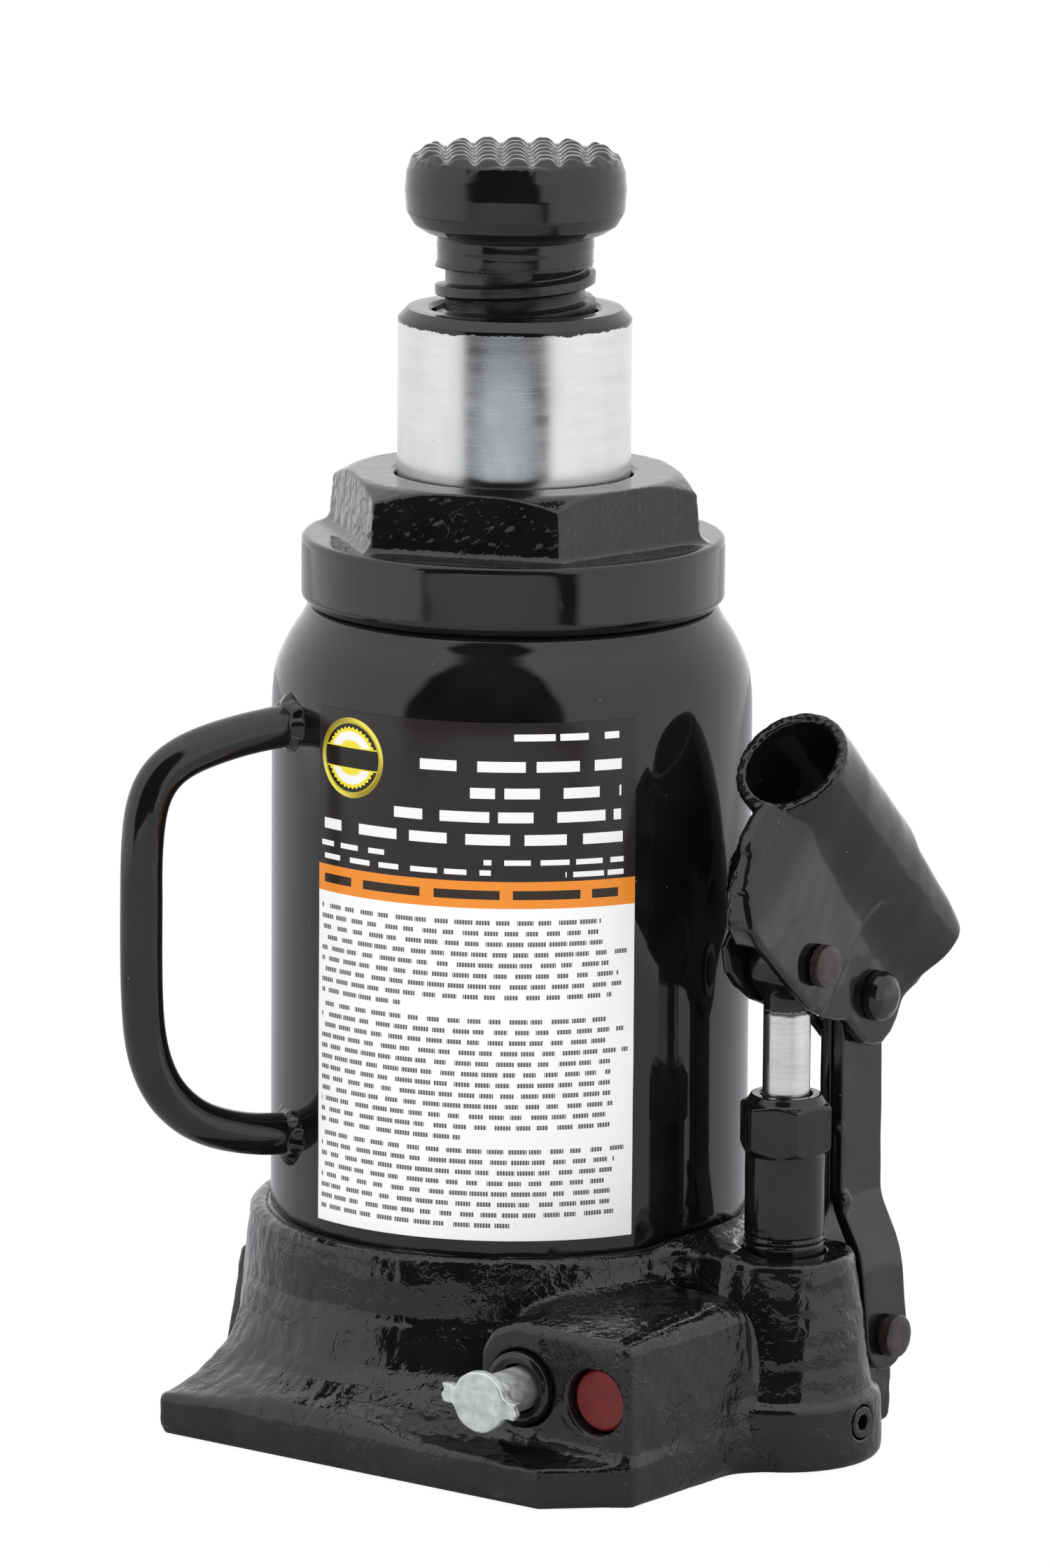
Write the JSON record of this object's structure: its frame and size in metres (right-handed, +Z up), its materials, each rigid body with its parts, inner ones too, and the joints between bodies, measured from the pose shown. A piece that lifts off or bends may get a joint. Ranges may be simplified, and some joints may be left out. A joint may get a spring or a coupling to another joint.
{
  "type": "hydraulic bottle jack",
  "caption": "Upright side-pump hydraulic bottle jack with a hexagon-capped round tank, plated ram, serrated extension screw, handle socket, release valve, carry handle and cast base.",
  "frame": {"origin": "on the ram's axis at the underside of the base", "axes": "+Z up along the ram, -Y towards the operator (release valve and block face), +X towards the pump; the ram is posed 34.6 mm out and the extension screw 13.8 mm out, as pictured"},
  "size_m": [0.1759, 0.1556, 0.284],
  "materials": {
    "base_enamel": "gloss over as-cast iron",
    "tank_enamel": "high gloss",
    "nut_enamel": "gloss over as-forged steel",
    "handle_enamel": "high gloss",
    "pump_enamel": "gloss",
    "socket_enamel": "high gloss",
    "link_enamel": "gloss",
    "screw_enamel": "gloss",
    "pin_enamel": "gloss",
    "pin_steel": "oiled, brown",
    "ram_steel": "ground, fine turning marks",
    "plunger_steel": "ground",
    "cylinder_steel": "machined",
    "washer_steel": "plain",
    "spring_steel": "plain",
    "release_zinc": "zinc plated, satin",
    "safety_cap_red": "matte",
    "black_rubber": "matte",
    "seal_urethane": "satin",
    "gasket_fibre": "matte fibre",
    "copper": "soft copper",
    "label_print": "printed film"
  },
  "bodies": {
    "base": {"base_casting": "base_enamel", "tank_shell": "tank_enamel", "top_nut": "nut_enamel", "pressure_cylinder": "cylinder_steel", "cylinder_gasket": "copper", "tank_bottom_gasket": "gasket_fibre", "tank_top_gasket": "black_rubber", "oil_filler_plug": "black_rubber", "ram_wiper_seal": "black_rubber", "carry_handle": "handle_enamel", "label": "label_print", "pump_cylinder": "pump_enamel", "pump_packing": "seal_urethane", "pump_seat_washer": "copper", "release_gland_nut": "pump_enamel", "safety_valve_cap": "safety_cap_red", "safety_adjusting_screw": "cylinder_steel", "safety_spring": "spring_steel", "safety_spring_seat": "cylinder_steel", "base_set_screw": "pump_enamel"},
    "ram": {"ram": "ram_steel", "piston_cup_seal": "seal_urethane", "piston_seal_washer": "washer_steel", "piston_snap_ring": "spring_steel"},
    "screw_travel": {"screw_stop_ring": "spring_steel"},
    "extension_screw": {"extension_screw": "screw_enamel"},
    "fulcrum_link": {"link_plate_outer": "link_enamel", "link_plate_inner": "link_enamel", "link_pin_lower": "pin_steel", "lower_pin_clip": "spring_steel"},
    "handle_socket": {"handle_socket": "socket_enamel", "plunger_pin": "pin_steel", "plunger_pin_clip": "spring_steel", "link_pin_upper": "pin_enamel", "upper_pin_clip": "spring_steel"},
    "plunger": {"pump_plunger": "plunger_steel"},
    "release_travel": {"release_o_ring": "black_rubber", "release_ball": "cylinder_steel"},
    "release_valve": {"release_valve_spindle": "release_zinc"},
    "delivery_check": {"delivery_check_ball": "cylinder_steel"},
    "suction_check": {"suction_check_ball": "cylinder_steel"},
    "safety_check": {"safety_ball": "cylinder_steel"}
  },
  "joints": [
    {"name": "ram_lift", "type": "slide", "parent": "base", "child": "ram", "axis": [0, 0, 1], "range_m": [-0.0346, 0.1144]},
    {"name": "screw_travel", "type": "slide", "parent": "ram", "child": "screw_travel", "axis": [0, 0, 1], "range_m": [-0.0136, 0.0402]},
    {"name": "screw_turn", "type": "hinge", "parent": "screw_travel", "child": "extension_screw", "pos_m": [0, 0, 0.2], "axis": [0, 0, 1], "range_deg": [-780, 2320]},
    {"name": "link_swing", "type": "hinge", "parent": "base", "child": "fulcrum_link", "pos_m": [0.07545, 0.026, 0.0222], "axis": [1, 0, 0], "range_deg": [-3.2, 1.6]},
    {"name": "pump_stroke", "type": "hinge", "parent": "fulcrum_link", "child": "handle_socket", "pos_m": [0.07545, 0.0253, 0.0992], "axis": [1, 0, 0], "range_deg": [-14, 35]},
    {"name": "plunger_slide", "type": "slide", "parent": "base", "child": "plunger", "axis": [0, 0, 1], "range_m": [-0.0155, 0.0062]},
    {"name": "release_travel", "type": "slide", "parent": "base", "child": "release_travel", "axis": [0, -1, 0], "range_m": [0, 0.0016]},
    {"name": "release_turn", "type": "hinge", "parent": "release_travel", "child": "release_valve", "pos_m": [0.0488, -0.06, 0.0224], "axis": [0, -1, 0], "range_deg": [0, 360]},
    {"name": "delivery_lift", "type": "slide", "parent": "base", "child": "delivery_check", "axis": [1, 0, 0], "range_m": [0, 0.0012]},
    {"name": "suction_lift", "type": "slide", "parent": "base", "child": "suction_check", "axis": [1, 0, 0], "range_m": [0, 0.0012]},
    {"name": "safety_lift", "type": "slide", "parent": "base", "child": "safety_check", "axis": [0, -1, 0], "range_m": [0, 0.0006]}
  ],
  "couplings": [
    {"joint": "screw_travel", "follows": "screw_turn", "m_per_rad": 0.00098676},
    {"joint": "link_swing", "follows": "pump_stroke", "ratio": -0.08},
    {"joint": "plunger_slide", "follows": "pump_stroke", "m_per_rad": -0.02425},
    {"joint": "release_travel", "follows": "release_turn", "m_per_rad": 0.00023873}
  ]
}
